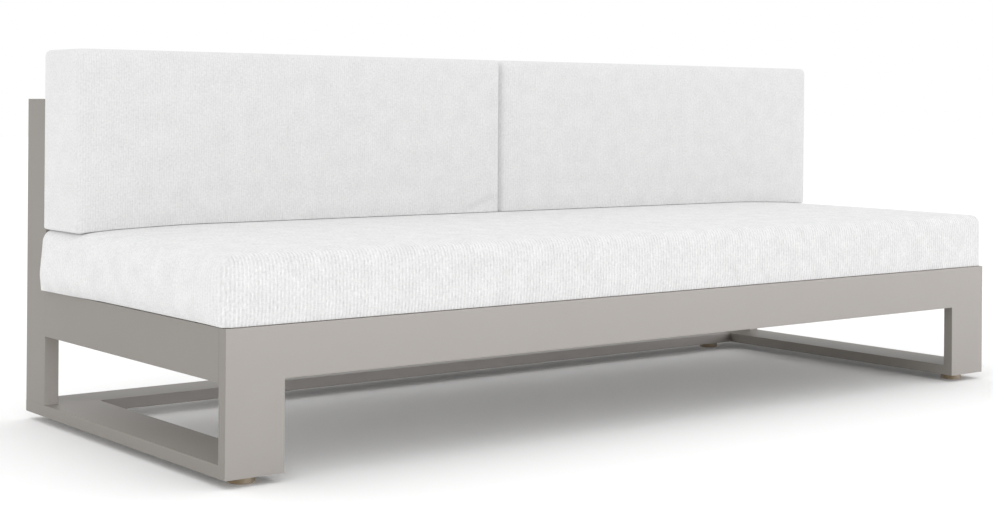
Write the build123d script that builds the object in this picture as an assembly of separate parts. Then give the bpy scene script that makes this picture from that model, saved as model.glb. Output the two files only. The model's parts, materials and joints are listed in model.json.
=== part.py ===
"""Armless module of a modular outdoor sofa.

A powder-coated aluminium frame of flat tubes carries a slatted deck and a slatted back.
One long seat cushion lies on the deck, and two back cushions stand on it and lean on the back.
Millimetres. +X is to the sitter's left seen from the front (right in a front view), +Y to the rear, +Z up.
The origin is on the floor, under the middle of the frame.
"""

import os

from build123d import *

# Overall sizes
FRAME_WIDTH = 2222.0
FRAME_DEPTH = 890.0
SEAT_FRAME_TOP = 291.0
POST_TOP = 705.0

# Flat tubes of the frame
TUBE_WALL = 2.5
TUBE_CORNER = 0.8
LEG_WIDTH = 125.0
LEG_DEPTH = 25.0
RUNNER_HEIGHT = 25.0
APRON_HEIGHT = 100.0
SIDE_THICKNESS = 32.0
POST_DEPTH = 98.0
FLOOR_RAIL_DEPTH = 109.0
BACK_RAIL_HEIGHT = 80.0
BACK_RAIL_DEPTH = 25.0
CAP_THICKNESS = 3.0
CAP_PLUG_LENGTH = 12.0
CAP_PLUG_CLEARANCE = 0.3

# Slats and the angles that carry them
SLAT_COUNT = 10
SEAT_SLAT_WIDTH = 80.0
SEAT_SLAT_HEIGHT = 20.0
BACK_SLAT_WIDTH = 60.0
BACK_SLAT_DEPTH = 18.0
SLAT_WALL = 2.0
LEDGER_LEG = 25.0
LEDGER_THICKNESS = 3.0
LEDGER_END_GAP = 1.0
SCREW_RADIUS = 2.4
SCREW_LENGTH = 11.0
SCREW_HEAD_RADIUS = 4.5
SCREW_HEAD_HEIGHT = 3.0
SCREW_CLEARANCE = 0.15
SCREW_FROM_WALL = 14.0

# Levelling feet
FOOT_DIAMETER = 50.0
FOOT_HEIGHT = 17.0
FOOT_EDGE = 1.5
FOOT_FROM_FRONT = 50.0
FOOT_FROM_CORNER = 10.0
STEM_RADIUS = 4.0
STEM_LENGTH = 29.0
STEM_IN_PAD = 10.0
STEM_PRESS_CLEARANCE = 0.02
STEM_RUNNING_CLEARANCE = 0.05
INSERT_RADIUS = 5.5
INSERT_LENGTH = 14.0
INSERT_FLANGE_RADIUS = 8.0
INSERT_FLANGE_THICKNESS = 1.0
INSERT_HOLE_CLEARANCE = 0.05
FLANGE_RECESS_CLEARANCE = 0.5

# Cushions
REST_GAP = 0.3
COVER_THICKNESS = 3.0
CORE_CLEARANCE = 0.3
SEAT_EDGE_HEIGHT = 131.0
SEAT_MIDDLE_HEIGHT = 143.0
SEAT_OVERHANG = 14.0
SEAT_SETBACK = 5.0
SEAT_FRONT_BULGE = 5.0
SEAT_TOP_RADIUS = 18.0
SEAT_CROWN = 5.0
SEAT_DRAW_IN = 2.0
BACK_HEIGHT = 377.0
BACK_EDGE_THICKNESS = 173.0
BACK_MIDDLE_THICKNESS = 175.0
BACK_CROWN = 5.0
BACK_OVERHANG = 10.0
BACK_TOP_BULGE = 1.5
BACK_FRONT_RADIUS = 13.0
BACK_DRAW_IN = 1.5
BACK_SPLIT_GAP = 1.0
CUSHION_EDGE_RADIUS = 9.0
CUSHION_END_RISE = 160.0
CUSHION_END_ROUNDING = ((0.0, 10.0), (3.0, 4.5), (10.0, 1.0), (22.0, 0.0))

# Zips in the rear wall of each cover
SEAT_ZIP_LENGTH = 1500.0
BACK_ZIP_LENGTH = 800.0
ZIP_SLOT_HEIGHT = 10.0
ZIP_TAPE_WIDTH = 24.0
ZIP_TAPE_THICKNESS = 1.5
ZIP_FROM_BASE = 60.0
SLIDER_LENGTH = 12.0
SLIDER_PULL_LENGTH = 16.0
SLIDER_PULL_WIDTH = 5.0
SLIDER_PULL_THICKNESS = 1.2
SLIDER_CLEARANCE = 0.3

# Planes and edges that several pieces share
LEFT = -FRAME_WIDTH / 2
RIGHT = FRAME_WIDTH / 2
FRONT = -FRAME_DEPTH / 2
REAR = FRAME_DEPTH / 2
FLOOR_TUBE_BOTTOM = FOOT_HEIGHT
FLOOR_TUBE_TOP = FOOT_HEIGHT + RUNNER_HEIGHT
APRON_BACK = FRONT + LEG_DEPTH
APRON_BOTTOM = SEAT_FRAME_TOP - APRON_HEIGHT
POST_FRONT = REAR - POST_DEPTH
INNER_LEFT = LEFT + SIDE_THICKNESS
INNER_RIGHT = RIGHT - SIDE_THICKNESS
SLAT_BOTTOM = SEAT_FRAME_TOP - SEAT_SLAT_HEIGHT
SLAT_PITCH = (INNER_RIGHT - INNER_LEFT) / SLAT_COUNT
SLAT_CENTRES = [INNER_LEFT + SLAT_PITCH * (i + 0.5) for i in range(SLAT_COUNT)]
CUT_PAST = 1.0


def block(x0, x1, y0, y1, z0, z1):
    """A box between two corners."""
    return Pos((x0 + x1) / 2, (y0 + y1) / 2, (z0 + z1) / 2) * Box(x1 - x0, y1 - y0, z1 - z0)


def rod(x, y, z0, z1, radius):
    """An upright cylinder."""
    return Pos(x, y, (z0 + z1) / 2) * Cylinder(radius, z1 - z0)


def prism_xz(points, y0, y1):
    """An outline in X and Z, carried from y0 to y1."""
    outline = make_face(Polyline(*[(x, y0, z) for x, z in points], close=True))
    return extrude(outline, amount=y1 - y0, dir=(0, 1, 0))


def prism_xy(points, z0, z1):
    """An outline in X and Y, carried from z0 to z1."""
    outline = make_face(Polyline(*[(x, y, z0) for x, y in points], close=True))
    return extrude(outline, amount=z1 - z0, dir=(0, 0, 1))


def prism_yz(points, x0, x1):
    """An outline in Y and Z, carried from x0 to x1."""
    outline = make_face(Polyline(*[(x0, y, z) for y, z in points], close=True))
    return extrude(outline, amount=x1 - x0, dir=(1, 0, 0))


def soften(tube, axis):
    """Round the long outer corners of a tube that runs along X, Y or Z."""
    return fillet(tube.edges().filter_by({"X": Axis.X, "Y": Axis.Y, "Z": Axis.Z}[axis]), TUBE_CORNER)


def tube_along(axis, x0, x1, y0, y1, z0, z1, wall):
    """A straight tube, open at both ends, along X, Y or Z."""
    grow = {name: (CUT_PAST if name == axis else -wall) for name in "XYZ"}
    bore = block(
        x0 - grow["X"], x1 + grow["X"], y0 - grow["Y"], y1 + grow["Y"], z0 - grow["Z"], z1 + grow["Z"]
    )
    return soften(block(x0, x1, y0, y1, z0, z1), axis) - bore


# Front portal: legs and apron, mitred at the upper corners


def portal_mitre_z(x):
    """Height of the left upper mitre at a given x."""
    return SEAT_FRAME_TOP - (x - LEFT) * APRON_HEIGHT / LEG_WIDTH


def portal_mitre_x(z):
    """Left end of the apron at a given height, along the same mitre."""
    return LEFT + (SEAT_FRAME_TOP - z) * LEG_WIDTH / APRON_HEIGHT


def left_front_leg():
    """Flat upright tube, mitred into the apron above and into the runner below."""
    inner_left = LEFT + TUBE_WALL
    inner_right = LEFT + LEG_WIDTH - TUBE_WALL
    below = FLOOR_TUBE_BOTTOM - CUT_PAST
    outside = prism_xz(
        [
            (LEFT, FLOOR_TUBE_BOTTOM),
            (LEFT + LEG_WIDTH, FLOOR_TUBE_BOTTOM),
            (LEFT + LEG_WIDTH, APRON_BOTTOM),
            (LEFT, SEAT_FRAME_TOP),
        ],
        FRONT,
        APRON_BACK,
    )
    bore = prism_xz(
        [
            (inner_left, below),
            (inner_right, below),
            (inner_right, portal_mitre_z(inner_right)),
            (inner_left, portal_mitre_z(inner_left)),
        ],
        FRONT + TUBE_WALL,
        APRON_BACK - TUBE_WALL,
    )
    runner_side = prism_yz(
        [(FRONT, FLOOR_TUBE_BOTTOM), (APRON_BACK, FLOOR_TUBE_BOTTOM), (APRON_BACK, FLOOR_TUBE_TOP)],
        LEFT,
        LEFT + LEG_WIDTH,
    )
    return soften(outside, "Z") - bore - runner_side


def front_apron():
    """Flat rail across the front, mitred into both legs."""
    top = SEAT_FRAME_TOP - TUBE_WALL
    bottom = APRON_BOTTOM + TUBE_WALL
    outside = prism_xz(
        [
            (LEFT, SEAT_FRAME_TOP),
            (RIGHT, SEAT_FRAME_TOP),
            (RIGHT - LEG_WIDTH, APRON_BOTTOM),
            (LEFT + LEG_WIDTH, APRON_BOTTOM),
        ],
        FRONT,
        APRON_BACK,
    )
    bore = prism_xz(
        [
            (portal_mitre_x(top), top),
            (-portal_mitre_x(top), top),
            (-portal_mitre_x(bottom), bottom),
            (portal_mitre_x(bottom), bottom),
        ],
        FRONT + TUBE_WALL,
        APRON_BACK - TUBE_WALL,
    )
    return soften(outside, "X") - bore


# Floor frame: two runners and a rear rail, mitred at the rear corners


def floor_mitre_y(x):
    """Rear end of the left runner at a given x."""
    return REAR - (x - LEFT) * FLOOR_RAIL_DEPTH / LEG_WIDTH


def floor_mitre_x(y):
    """Left end of the rear floor rail at a given y, along the same mitre."""
    return LEFT + (REAR - y) * LEG_WIDTH / FLOOR_RAIL_DEPTH


def left_runner():
    """Flat tube on the floor, from the leg's foot mitre to the rear corner, bored for its foot."""
    inner_left = LEFT + TUBE_WALL
    inner_right = LEFT + LEG_WIDTH - TUBE_WALL
    ahead = FRONT - CUT_PAST
    outside = prism_xy(
        [
            (LEFT, FRONT),
            (LEFT + LEG_WIDTH, FRONT),
            (LEFT + LEG_WIDTH, REAR - FLOOR_RAIL_DEPTH),
            (LEFT, REAR),
        ],
        FLOOR_TUBE_BOTTOM,
        FLOOR_TUBE_TOP,
    )
    bore = prism_xy(
        [
            (inner_left, ahead),
            (inner_right, ahead),
            (inner_right, floor_mitre_y(inner_right)),
            (inner_left, floor_mitre_y(inner_left)),
        ],
        FLOOR_TUBE_BOTTOM + TUBE_WALL,
        FLOOR_TUBE_TOP - TUBE_WALL,
    )
    leg_side = prism_yz(
        [(FRONT, FLOOR_TUBE_BOTTOM), (APRON_BACK, FLOOR_TUBE_TOP), (FRONT, FLOOR_TUBE_TOP)],
        LEFT,
        LEFT + LEG_WIDTH,
    )
    return soften(outside, "Y") - bore - leg_side - foot_hole(*FOOT_PLACES["front_left"])


def rear_floor_rail():
    """Flat tube across the back at floor level, mitred into both runners, bored for the rear feet."""
    rear = REAR - TUBE_WALL
    front = REAR - FLOOR_RAIL_DEPTH + TUBE_WALL
    outside = prism_xy(
        [
            (LEFT, REAR),
            (RIGHT, REAR),
            (RIGHT - LEG_WIDTH, REAR - FLOOR_RAIL_DEPTH),
            (LEFT + LEG_WIDTH, REAR - FLOOR_RAIL_DEPTH),
        ],
        FLOOR_TUBE_BOTTOM,
        FLOOR_TUBE_TOP,
    )
    bore = prism_xy(
        [
            (floor_mitre_x(rear), rear),
            (-floor_mitre_x(rear), rear),
            (-floor_mitre_x(front), front),
            (floor_mitre_x(front), front),
        ],
        FLOOR_TUBE_BOTTOM + TUBE_WALL,
        FLOOR_TUBE_TOP - TUBE_WALL,
    )
    holes = [foot_hole(*FOOT_PLACES[name]) for name in ("rear_left", "rear_right")]
    return soften(outside, "X") - bore - holes


# Sides and back


def left_rear_post():
    """Upright tube that stands on the rear corner and carries the back."""
    top = POST_TOP - CAP_THICKNESS
    return tube_along("Z", LEFT, INNER_LEFT, POST_FRONT, REAR, FLOOR_TUBE_TOP, top, TUBE_WALL)


def left_post_cap():
    """Plate that closes the post, with a plug that enters the tube."""
    top = POST_TOP - CAP_THICKNESS
    edge = TUBE_WALL + CAP_PLUG_CLEARANCE
    plate = soften(block(LEFT, INNER_LEFT, POST_FRONT, REAR, top, POST_TOP), "Z")
    plug = block(
        LEFT + edge, INNER_LEFT - edge, POST_FRONT + edge, REAR - edge, top - CAP_PLUG_LENGTH, top
    )
    return plate + plug


def left_side_rail():
    """Tube between the front leg and the rear post, level with the apron."""
    return tube_along(
        "Y", LEFT, INNER_LEFT, APRON_BACK, POST_FRONT, APRON_BOTTOM, SEAT_FRAME_TOP, TUBE_WALL
    )


def rear_seat_rail():
    """Tube between the posts at seat height, which holds the rear ends of the deck."""
    return tube_along(
        "X",
        INNER_LEFT,
        INNER_RIGHT,
        POST_FRONT,
        POST_FRONT + BACK_RAIL_DEPTH,
        APRON_BOTTOM,
        SEAT_FRAME_TOP,
        TUBE_WALL,
    )


def back_top_rail():
    """Tube between the tops of the posts."""
    return tube_along(
        "X",
        INNER_LEFT,
        INNER_RIGHT,
        POST_FRONT,
        POST_FRONT + BACK_RAIL_DEPTH,
        POST_TOP - BACK_RAIL_HEIGHT,
        POST_TOP,
        TUBE_WALL,
    )


# Deck and back slats

SCREW_ROWS = (APRON_BACK + SCREW_FROM_WALL, POST_FRONT - SCREW_FROM_WALL)


def seat_slat(x):
    """Deck slat from the apron to the rear seat rail, drilled for a screw at each end."""
    half = SEAT_SLAT_WIDTH / 2
    slat = tube_along(
        "Y", x - half, x + half, APRON_BACK, POST_FRONT, SLAT_BOTTOM, SEAT_FRAME_TOP, SLAT_WALL
    )
    radius = SCREW_RADIUS + SCREW_CLEARANCE
    holes = [
        rod(x, y, SLAT_BOTTOM - CUT_PAST, SLAT_BOTTOM + SLAT_WALL + CUT_PAST, radius) for y in SCREW_ROWS
    ]
    return slat - holes


def back_slat(x):
    """Upright slat between the rear seat rail and the back top rail."""
    half = BACK_SLAT_WIDTH / 2
    return tube_along(
        "Z",
        x - half,
        x + half,
        POST_FRONT,
        POST_FRONT + BACK_SLAT_DEPTH,
        SEAT_FRAME_TOP,
        POST_TOP - BACK_RAIL_HEIGHT,
        SLAT_WALL,
    )


def ledger(wall_y, inward):
    """Angle along a rail under the slat ends, drilled for the screws. inward is +1 or -1 along Y."""
    x0 = INNER_LEFT + LEDGER_END_GAP
    x1 = INNER_RIGHT - LEDGER_END_GAP
    foot = sorted((wall_y, wall_y + inward * LEDGER_LEG))
    web = sorted((wall_y, wall_y + inward * LEDGER_THICKNESS))
    shelf = block(x0, x1, *foot, SLAT_BOTTOM - LEDGER_THICKNESS, SLAT_BOTTOM)
    upright = block(x0, x1, *web, SLAT_BOTTOM - LEDGER_LEG, SLAT_BOTTOM)
    radius = SCREW_RADIUS + SCREW_CLEARANCE
    low = SLAT_BOTTOM - LEDGER_THICKNESS - CUT_PAST
    row = wall_y + inward * SCREW_FROM_WALL
    holes = [rod(x, row, low, SLAT_BOTTOM + CUT_PAST, radius) for x in SLAT_CENTRES]
    return shelf + upright - holes


def slat_screws():
    """Pan-head screws, one at each end of each deck slat, driven from below."""
    under = SLAT_BOTTOM - LEDGER_THICKNESS
    screws = []
    for x in SLAT_CENTRES:
        for y in SCREW_ROWS:
            head = rod(x, y, under - SCREW_HEAD_HEIGHT, under, SCREW_HEAD_RADIUS)
            screws.append(head + rod(x, y, under, under + SCREW_LENGTH, SCREW_RADIUS))
    return Compound(children=screws)


# Levelling feet

FOOT_REAR_X = LEFT + LEG_WIDTH + FOOT_DIAMETER / 2 + FOOT_FROM_CORNER
FOOT_FRONT_X = LEFT + LEG_WIDTH / 2
FOOT_REAR_Y = REAR - FLOOR_RAIL_DEPTH / 2
FOOT_FRONT_Y = FRONT + FOOT_FROM_FRONT
FOOT_PLACES = {
    "front_left": (FOOT_FRONT_X, FOOT_FRONT_Y),
    "front_right": (-FOOT_FRONT_X, FOOT_FRONT_Y),
    "rear_left": (FOOT_REAR_X, FOOT_REAR_Y),
    "rear_right": (-FOOT_REAR_X, FOOT_REAR_Y),
}


def foot_hole(x, y):
    """Hole through the lower wall of a floor tube for a threaded insert."""
    low = FLOOR_TUBE_BOTTOM - CUT_PAST
    high = FLOOR_TUBE_BOTTOM + TUBE_WALL + CUT_PAST
    return rod(x, y, low, high, INSERT_RADIUS + INSERT_HOLE_CLEARANCE)


def foot_pad(x, y):
    """Round pad that stands on the floor, recessed for the insert's flange and bored for its stem."""
    pad = rod(x, y, 0, FOOT_HEIGHT, FOOT_DIAMETER / 2)
    rims = pad.edges().filter_by(GeomType.CIRCLE)
    pad = chamfer(rims, FOOT_EDGE)
    recess_depth = INSERT_FLANGE_THICKNESS + FLANGE_RECESS_CLEARANCE
    recess_radius = INSERT_FLANGE_RADIUS + FLANGE_RECESS_CLEARANCE
    recess = rod(x, y, FOOT_HEIGHT - recess_depth, FOOT_HEIGHT + CUT_PAST, recess_radius)
    socket = rod(x, y, FOOT_HEIGHT - STEM_IN_PAD, FOOT_HEIGHT, STEM_RADIUS + STEM_PRESS_CLEARANCE)
    return pad - recess - socket


def foot_stem(x, y):
    """Stem that is fixed in the pad and runs in the threaded insert."""
    low = FOOT_HEIGHT - STEM_IN_PAD
    return rod(x, y, low, low + STEM_LENGTH, STEM_RADIUS)


def foot_inserts():
    """Flanged inserts in the floor tubes, one over each foot."""
    inserts = []
    for x, y in FOOT_PLACES.values():
        low = FLOOR_TUBE_BOTTOM - INSERT_FLANGE_THICKNESS
        body = rod(x, y, FLOOR_TUBE_BOTTOM, FLOOR_TUBE_BOTTOM + INSERT_LENGTH, INSERT_RADIUS)
        flange = rod(x, y, low, FLOOR_TUBE_BOTTOM, INSERT_FLANGE_RADIUS)
        thread = rod(
            x,
            y,
            low - CUT_PAST,
            FLOOR_TUBE_BOTTOM + INSERT_LENGTH + CUT_PAST,
            STEM_RADIUS + STEM_RUNNING_CLEARANCE,
        )
        inserts.append(body + flange - thread)
    return Compound(children=inserts)


# Cushions, each made flat: length along X, the bulging edge at Y 0, the resting face at Z 0


class Cushion:
    """Sizes of one cushion, and the forms of its cover, core and zip in its own flat frame."""

    def __init__(self, length, width, edge, middle, crown, bulge, radius, draw_in, flat, zip_on, zip_length):
        self.length = length
        self.width = width
        self.edge = edge
        self.middle = middle
        self.crown = crown
        self.bulge = bulge
        self.radius = radius
        self.draw_in = draw_in
        self.flat = flat
        self.zip_on = zip_on
        self.zip_length = zip_length

    def profile(self, x, shrink, inset, share):
        """Outline at one station. share is 0 at an end of the cushion and 1 along its middle."""
        small = CUSHION_EDGE_RADIUS
        large = self.radius
        front = shrink + inset + self.draw_in * share
        rear = self.width - shrink - inset
        low = shrink + inset
        front_top = self.edge - shrink - inset
        top = self.edge + (self.middle - self.edge) * share - shrink - inset
        crown_start = rear - small - self.flat
        middle_y = (crown_start + front + large) / 2
        middle_z = (top + front_top) / 2 + self.crown * (1 + share) / 2
        half_turn = 1 - 0.5**0.5
        lines = [
            Line((front + small, low), (rear - small, low)),
            ThreePointArc(
                (rear - small, low),
                (rear - small * half_turn, low + small * half_turn),
                (rear, low + small),
            ),
            Line((rear, low + small), (rear, top - small)),
            ThreePointArc(
                (rear, top - small),
                (rear - small * half_turn, top - small * half_turn),
                (rear - small, top),
            ),
            Line((rear - small, top), (crown_start, top)),
            ThreePointArc((crown_start, top), (middle_y, middle_z), (front + large, front_top)),
            ThreePointArc(
                (front + large, front_top),
                (front + large * half_turn, front_top - large * half_turn),
                (front, front_top - large),
            ),
            ThreePointArc(
                (front, front_top - large),
                (front - self.bulge, (low + small + front_top - large) / 2),
                (front, low + small),
            ),
            ThreePointArc(
                (front, low + small),
                (front + small * half_turn, low + small * half_turn),
                (front + small, low),
            ),
        ]
        outline = make_face(Wire(lines))
        return Plane(origin=(x, 0, 0), x_dir=(0, 1, 0), z_dir=(1, 0, 0)) * outline

    def form(self, shrink):
        """The whole stuffed shape, drawn in all round by shrink."""
        end = self.length / 2 - shrink
        left = [(-end + step, inset, 0.0) for step, inset in CUSHION_END_ROUNDING]
        left.append((-end + CUSHION_END_RISE, 0.0, 1.0))
        right = [(-x, inset, share) for x, inset, share in reversed(left)]
        return loft([self.profile(x, shrink, inset, share) for x, inset, share in left + right], ruled=True)

    def zip_box(self, along, across, near, far):
        """A box on the zip's line, from near to far in from the wall that holds the zip."""
        x0, x1 = along
        c0, c1 = ZIP_FROM_BASE - across / 2, ZIP_FROM_BASE + across / 2
        if self.zip_on == "rear":
            return block(x0, x1, self.width - far, self.width - near, c0, c1)
        return block(x0, x1, self.width - c1, self.width - c0, near, far)

    def cover(self):
        """Sewn shell with a slot in one wall for the zip."""
        half = self.zip_length / 2
        slot = self.zip_box((-half, half), ZIP_SLOT_HEIGHT, -CUT_PAST, COVER_THICKNESS + CUT_PAST)
        return self.form(0) - self.form(COVER_THICKNESS) - slot

    def core(self):
        """Foam filling, with a shallow channel behind the zip."""
        half = (self.zip_length + ZIP_TAPE_WIDTH) / 2 + CORE_CLEARANCE
        depth = COVER_THICKNESS + ZIP_TAPE_THICKNESS + CORE_CLEARANCE
        across = ZIP_TAPE_WIDTH + 2 * CORE_CLEARANCE
        return self.form(COVER_THICKNESS + CORE_CLEARANCE) - self.zip_box((-half, half), across, 0, depth)

    def zip_tape(self):
        """Zip tape, sewn behind the slot."""
        half = (self.zip_length + ZIP_TAPE_WIDTH) / 2
        return self.zip_box(
            (-half, half), ZIP_TAPE_WIDTH, COVER_THICKNESS, COVER_THICKNESS + ZIP_TAPE_THICKNESS
        )

    def zip_slider(self):
        """Slider and its pull, in the slot at one end of the zip."""
        start = -self.zip_length / 2 + SLIDER_CLEARANCE
        middle = start + SLIDER_LENGTH
        end = middle + SLIDER_PULL_LENGTH
        bottom = COVER_THICKNESS - SLIDER_CLEARANCE
        width = ZIP_SLOT_HEIGHT - 2 * SLIDER_CLEARANCE
        body = self.zip_box((start, middle), width, SLIDER_CLEARANCE, bottom)
        pull = self.zip_box(
            (middle, end), SLIDER_PULL_WIDTH, SLIDER_CLEARANCE, SLIDER_CLEARANCE + SLIDER_PULL_THICKNESS
        )
        return body + pull

    def pieces(self, name, place):
        """The cushion's nodes, stood where it belongs."""
        return {
            f"{name}_cover": place * self.cover(),
            f"{name}_core": place * self.core(),
            f"{name}_zip_tape": place * self.zip_tape(),
            f"{name}_zip_slider": place * self.zip_slider(),
        }


SEAT_FRONT = FRONT + SEAT_SETBACK
SEAT_REAR = POST_FRONT - REST_GAP
SEAT_BASE = SEAT_FRAME_TOP + REST_GAP
BACK_BASE = SEAT_BASE + SEAT_MIDDLE_HEIGHT + REST_GAP
BACK_LENGTH = RIGHT + BACK_OVERHANG - BACK_SPLIT_GAP / 2


def seat_cushion():
    """One long cushion on the deck. Its rear stays flat under the back cushions."""
    cushion = Cushion(
        length=FRAME_WIDTH + 2 * SEAT_OVERHANG,
        width=SEAT_REAR - SEAT_FRONT,
        edge=SEAT_EDGE_HEIGHT,
        middle=SEAT_MIDDLE_HEIGHT,
        crown=SEAT_CROWN,
        bulge=SEAT_FRONT_BULGE,
        radius=SEAT_TOP_RADIUS,
        draw_in=SEAT_DRAW_IN,
        flat=BACK_MIDDLE_THICKNESS + BACK_CROWN,
        zip_on="rear",
        zip_length=SEAT_ZIP_LENGTH,
    )
    return cushion.pieces("seat_cushion", Plane(origin=(0, SEAT_FRONT, SEAT_BASE)))


def back_cushion(side, direction):
    """A cushion on edge: its flat wall on the back slats, its lower wall on the seat cushion."""
    cushion = Cushion(
        length=BACK_LENGTH,
        width=BACK_HEIGHT,
        edge=BACK_EDGE_THICKNESS,
        middle=BACK_MIDDLE_THICKNESS,
        crown=BACK_CROWN,
        bulge=BACK_TOP_BULGE,
        radius=BACK_FRONT_RADIUS,
        draw_in=BACK_DRAW_IN,
        flat=BACK_FRONT_RADIUS,
        zip_on="base",
        zip_length=BACK_ZIP_LENGTH,
    )
    centre = direction * (BACK_LENGTH + BACK_SPLIT_GAP) / 2
    place = Plane(
        origin=(centre, POST_FRONT - REST_GAP, BACK_BASE + BACK_HEIGHT), x_dir=(-1, 0, 0), z_dir=(0, -1, 0)
    )
    return cushion.pieces(f"{side}_back_cushion", place)


# Assembly


def all_pieces():
    """Every node of the sofa by name."""
    pieces = {}
    for make in (left_front_leg, left_runner, left_rear_post, left_post_cap, left_side_rail):
        piece = make()
        pieces[make.__name__] = piece
        pieces[make.__name__.replace("left", "right")] = mirror(piece, about=Plane.YZ)
    for make in (front_apron, rear_floor_rail, rear_seat_rail, back_top_rail, slat_screws, foot_inserts):
        pieces[make.__name__] = make()
    pieces["front_ledger"] = ledger(APRON_BACK, 1)
    pieces["rear_ledger"] = ledger(POST_FRONT, -1)
    for number, x in enumerate(SLAT_CENTRES, 1):
        pieces[f"seat_slat_{number}"] = seat_slat(x)
        pieces[f"back_slat_{number}"] = back_slat(x)
    for name, (x, y) in FOOT_PLACES.items():
        pieces[f"{name}_foot_pad"] = foot_pad(x, y)
        pieces[f"{name}_foot_stem"] = foot_stem(x, y)
    pieces.update(seat_cushion())
    pieces.update(back_cushion("left", -1))
    pieces.update(back_cushion("right", 1))
    return pieces


os.makedirs("parts", exist_ok=True)
for node, shape in all_pieces().items():
    export_step(shape, f"parts/{node}.step")
    print(node, round(shape.volume))
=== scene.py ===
# %% [markdown]
# This lesson dresses an armless module of an outdoor sofa: a flat aluminium frame, one long seat cushion
# and two back cushions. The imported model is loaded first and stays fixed. Its tubes have the right shape,
# so they only get a finish, while the plain cushion solids are replaced by stuffed ones. All sizes are in
# metres, apart from the camera's sensor and lens, which are in millimetres.

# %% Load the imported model
import json
import math

import bpy
import numpy as np
from mathutils import Matrix, Vector
from mathutils.bvhtree import BVHTree


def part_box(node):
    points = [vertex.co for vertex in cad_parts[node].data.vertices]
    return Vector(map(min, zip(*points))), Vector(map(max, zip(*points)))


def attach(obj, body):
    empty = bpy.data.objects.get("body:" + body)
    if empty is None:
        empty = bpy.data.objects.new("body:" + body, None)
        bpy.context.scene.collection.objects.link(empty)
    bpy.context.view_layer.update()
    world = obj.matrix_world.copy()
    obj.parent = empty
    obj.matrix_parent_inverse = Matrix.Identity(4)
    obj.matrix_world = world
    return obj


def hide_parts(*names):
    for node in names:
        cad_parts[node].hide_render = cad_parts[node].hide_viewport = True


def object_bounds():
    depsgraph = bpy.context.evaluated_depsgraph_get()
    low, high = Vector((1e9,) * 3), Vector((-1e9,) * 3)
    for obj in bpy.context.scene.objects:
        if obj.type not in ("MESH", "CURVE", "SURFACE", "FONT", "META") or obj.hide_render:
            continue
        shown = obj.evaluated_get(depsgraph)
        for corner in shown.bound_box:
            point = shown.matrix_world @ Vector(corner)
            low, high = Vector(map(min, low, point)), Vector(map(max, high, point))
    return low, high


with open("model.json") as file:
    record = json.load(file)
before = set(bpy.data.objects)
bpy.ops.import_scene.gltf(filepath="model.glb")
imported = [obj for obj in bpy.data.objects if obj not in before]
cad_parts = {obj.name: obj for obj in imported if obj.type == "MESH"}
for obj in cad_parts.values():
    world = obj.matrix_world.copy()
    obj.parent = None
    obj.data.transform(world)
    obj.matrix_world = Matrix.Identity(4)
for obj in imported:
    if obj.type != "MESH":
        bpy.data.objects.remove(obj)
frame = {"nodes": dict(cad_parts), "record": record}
cad_low, cad_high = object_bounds()
scene = bpy.context.scene
scene.view_settings.view_transform = "Standard"

# %% [markdown]
# The photograph was taken with a level camera to the left of the sofa, at about seat-back height, and the
# picture was then shifted down onto the sofa. A level camera keeps the legs upright, so the shift is kept
# here too. The small roll is the slight lean that all upright edges share.

# %% Camera
CAMERA_PLACE = Vector((-2.638, -3.180, 0.6956))
CAMERA_YAW = math.radians(38.07)
CAMERA_ROLL = math.radians(0.427)
SENSOR_WIDTH = 36
LENS_LENGTH = 62.34
LENS_SHIFT = -0.149

ahead = Vector((math.sin(CAMERA_YAW), math.cos(CAMERA_YAW), 0))
level_right = Vector((math.cos(CAMERA_YAW), -math.sin(CAMERA_YAW), 0))
level_up = level_right.cross(ahead)
right = math.cos(CAMERA_ROLL) * level_right + math.sin(CAMERA_ROLL) * level_up
up = math.cos(CAMERA_ROLL) * level_up - math.sin(CAMERA_ROLL) * level_right
lens = bpy.data.cameras.new("camera")
lens.sensor_width = SENSOR_WIDTH
lens.lens = LENS_LENGTH
lens.shift_y = LENS_SHIFT
camera = bpy.data.objects.new("camera", lens)
scene.collection.objects.link(camera)
turn = Matrix((right, up, -ahead)).transposed()
camera.matrix_world = Matrix.Translation(CAMERA_PLACE) @ turn.to_4x4()
scene.camera = camera
print("camera at", tuple(CAMERA_PLACE), "lens", lens.lens)

# %% [markdown]
# A few small helpers serve every material. They turn a hex value to linear light, add a node with its
# settings, its values and its links, and make the noise, the colour and the relief that the finishes
# share.

# %% Material helpers
def linear(code):
    """Linear colour of an sRGB hex value such as B3AEAA."""
    parts = [int(code[i : i + 2], 16) / 255 for i in (0, 2, 4)]
    return tuple(p / 12.92 if p < 0.04045 else ((p + 0.055) / 1.055) ** 2.4 for p in parts) + (1.0,)


def add(tree, kind, inputs=None, **settings):
    """Add a node. An input given as a socket is linked, and any other input is set."""
    node = tree.nodes.new(kind)
    for name, value in settings.items():
        setattr(node, name, value)
    for name, value in (inputs or {}).items():
        if isinstance(value, bpy.types.NodeSocket):
            tree.links.new(value, node.inputs[name])
        else:
            node.inputs[name].default_value = value
    return node


def new_material(name):
    """A new material and its node tree, which is still empty."""
    material = bpy.data.materials.new(name)
    material.use_nodes = True
    material.node_tree.nodes.clear()
    return material, material.node_tree


def object_noise(tree, scale, detail):
    """Noise in the object's own space, with about the given number of blots to the metre."""
    place = add(tree, "ShaderNodeTexCoord")
    inputs = {"Vector": place.outputs["Object"], "Scale": scale, "Detail": detail}
    return add(tree, "ShaderNodeTexNoise", inputs).outputs["Fac"]


def between_colours(tree, share, dark, light):
    """A colour between two, which are inputs 6 and 7 of the node."""
    return add(tree, "ShaderNodeMix", {0: share, 6: dark, 7: light}, data_type="RGBA").outputs[2]


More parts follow.
